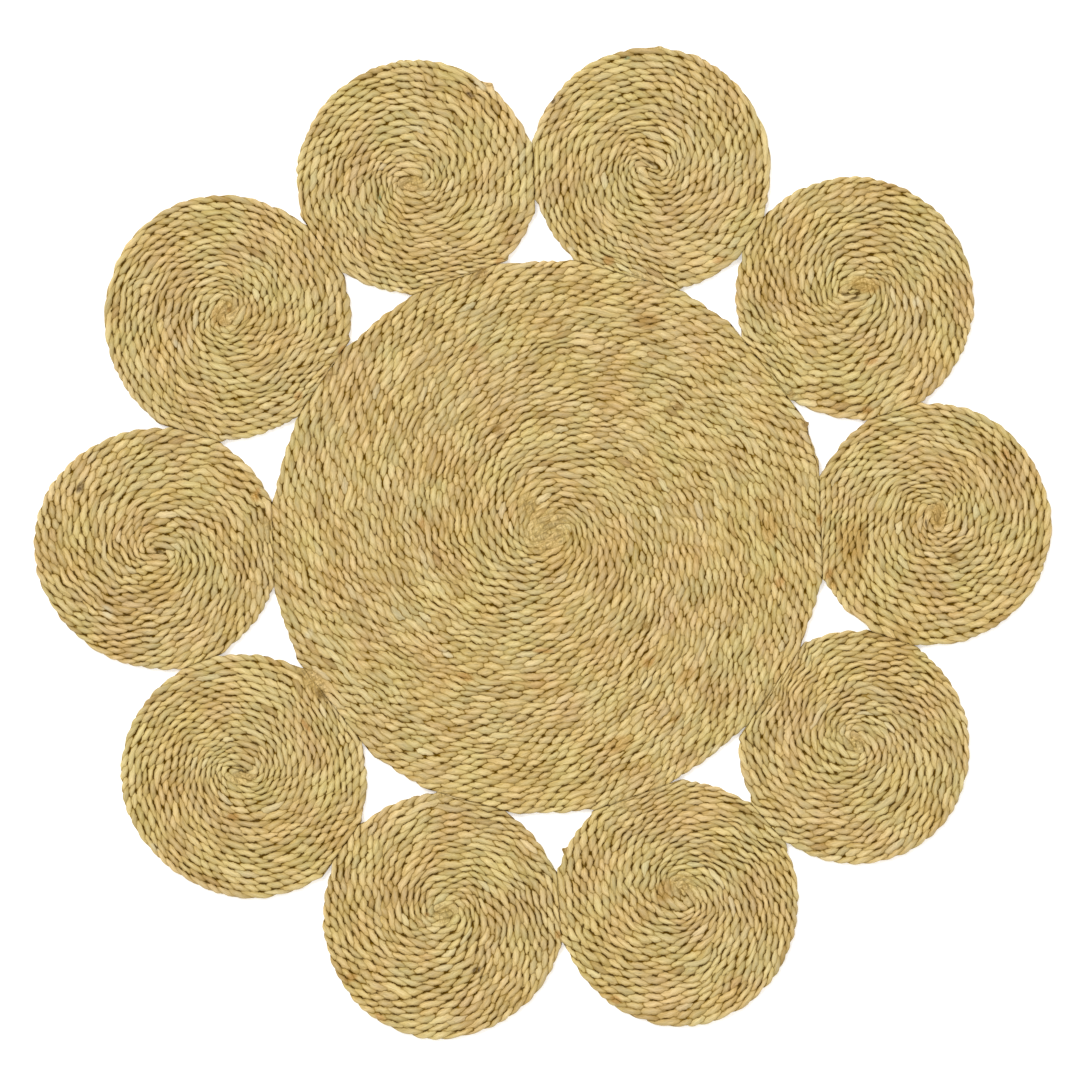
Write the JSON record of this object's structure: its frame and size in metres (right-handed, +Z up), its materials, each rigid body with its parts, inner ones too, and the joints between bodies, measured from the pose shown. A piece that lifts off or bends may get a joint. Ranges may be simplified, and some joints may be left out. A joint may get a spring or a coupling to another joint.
{
  "type": "jute placemat",
  "caption": "Flat round table mat: a large coil of twisted jute cord ringed by small coils that touch it and each other, with open gaps between.",
  "frame": {"origin": "on the underside, under the middle of the large coil", "axes": "+Z up from the table through the mat; +Y from the middle towards the gap between the two uppermost small coils; +X to the right of that"},
  "size_m": [0.3818, 0.3723, 0.0032],
  "materials": {
    "jute_cord": "undyed jute cord, dry and matt, golden straw with browner crevices"
  },
  "bodies": {
    "root": {"centre_coil": "jute_cord", "coil_01": "jute_cord", "coil_02": "jute_cord", "coil_03": "jute_cord", "coil_04": "jute_cord", "coil_05": "jute_cord", "coil_06": "jute_cord", "coil_07": "jute_cord", "coil_08": "jute_cord", "coil_09": "jute_cord", "coil_10": "jute_cord"}
  },
  "joints": []
}
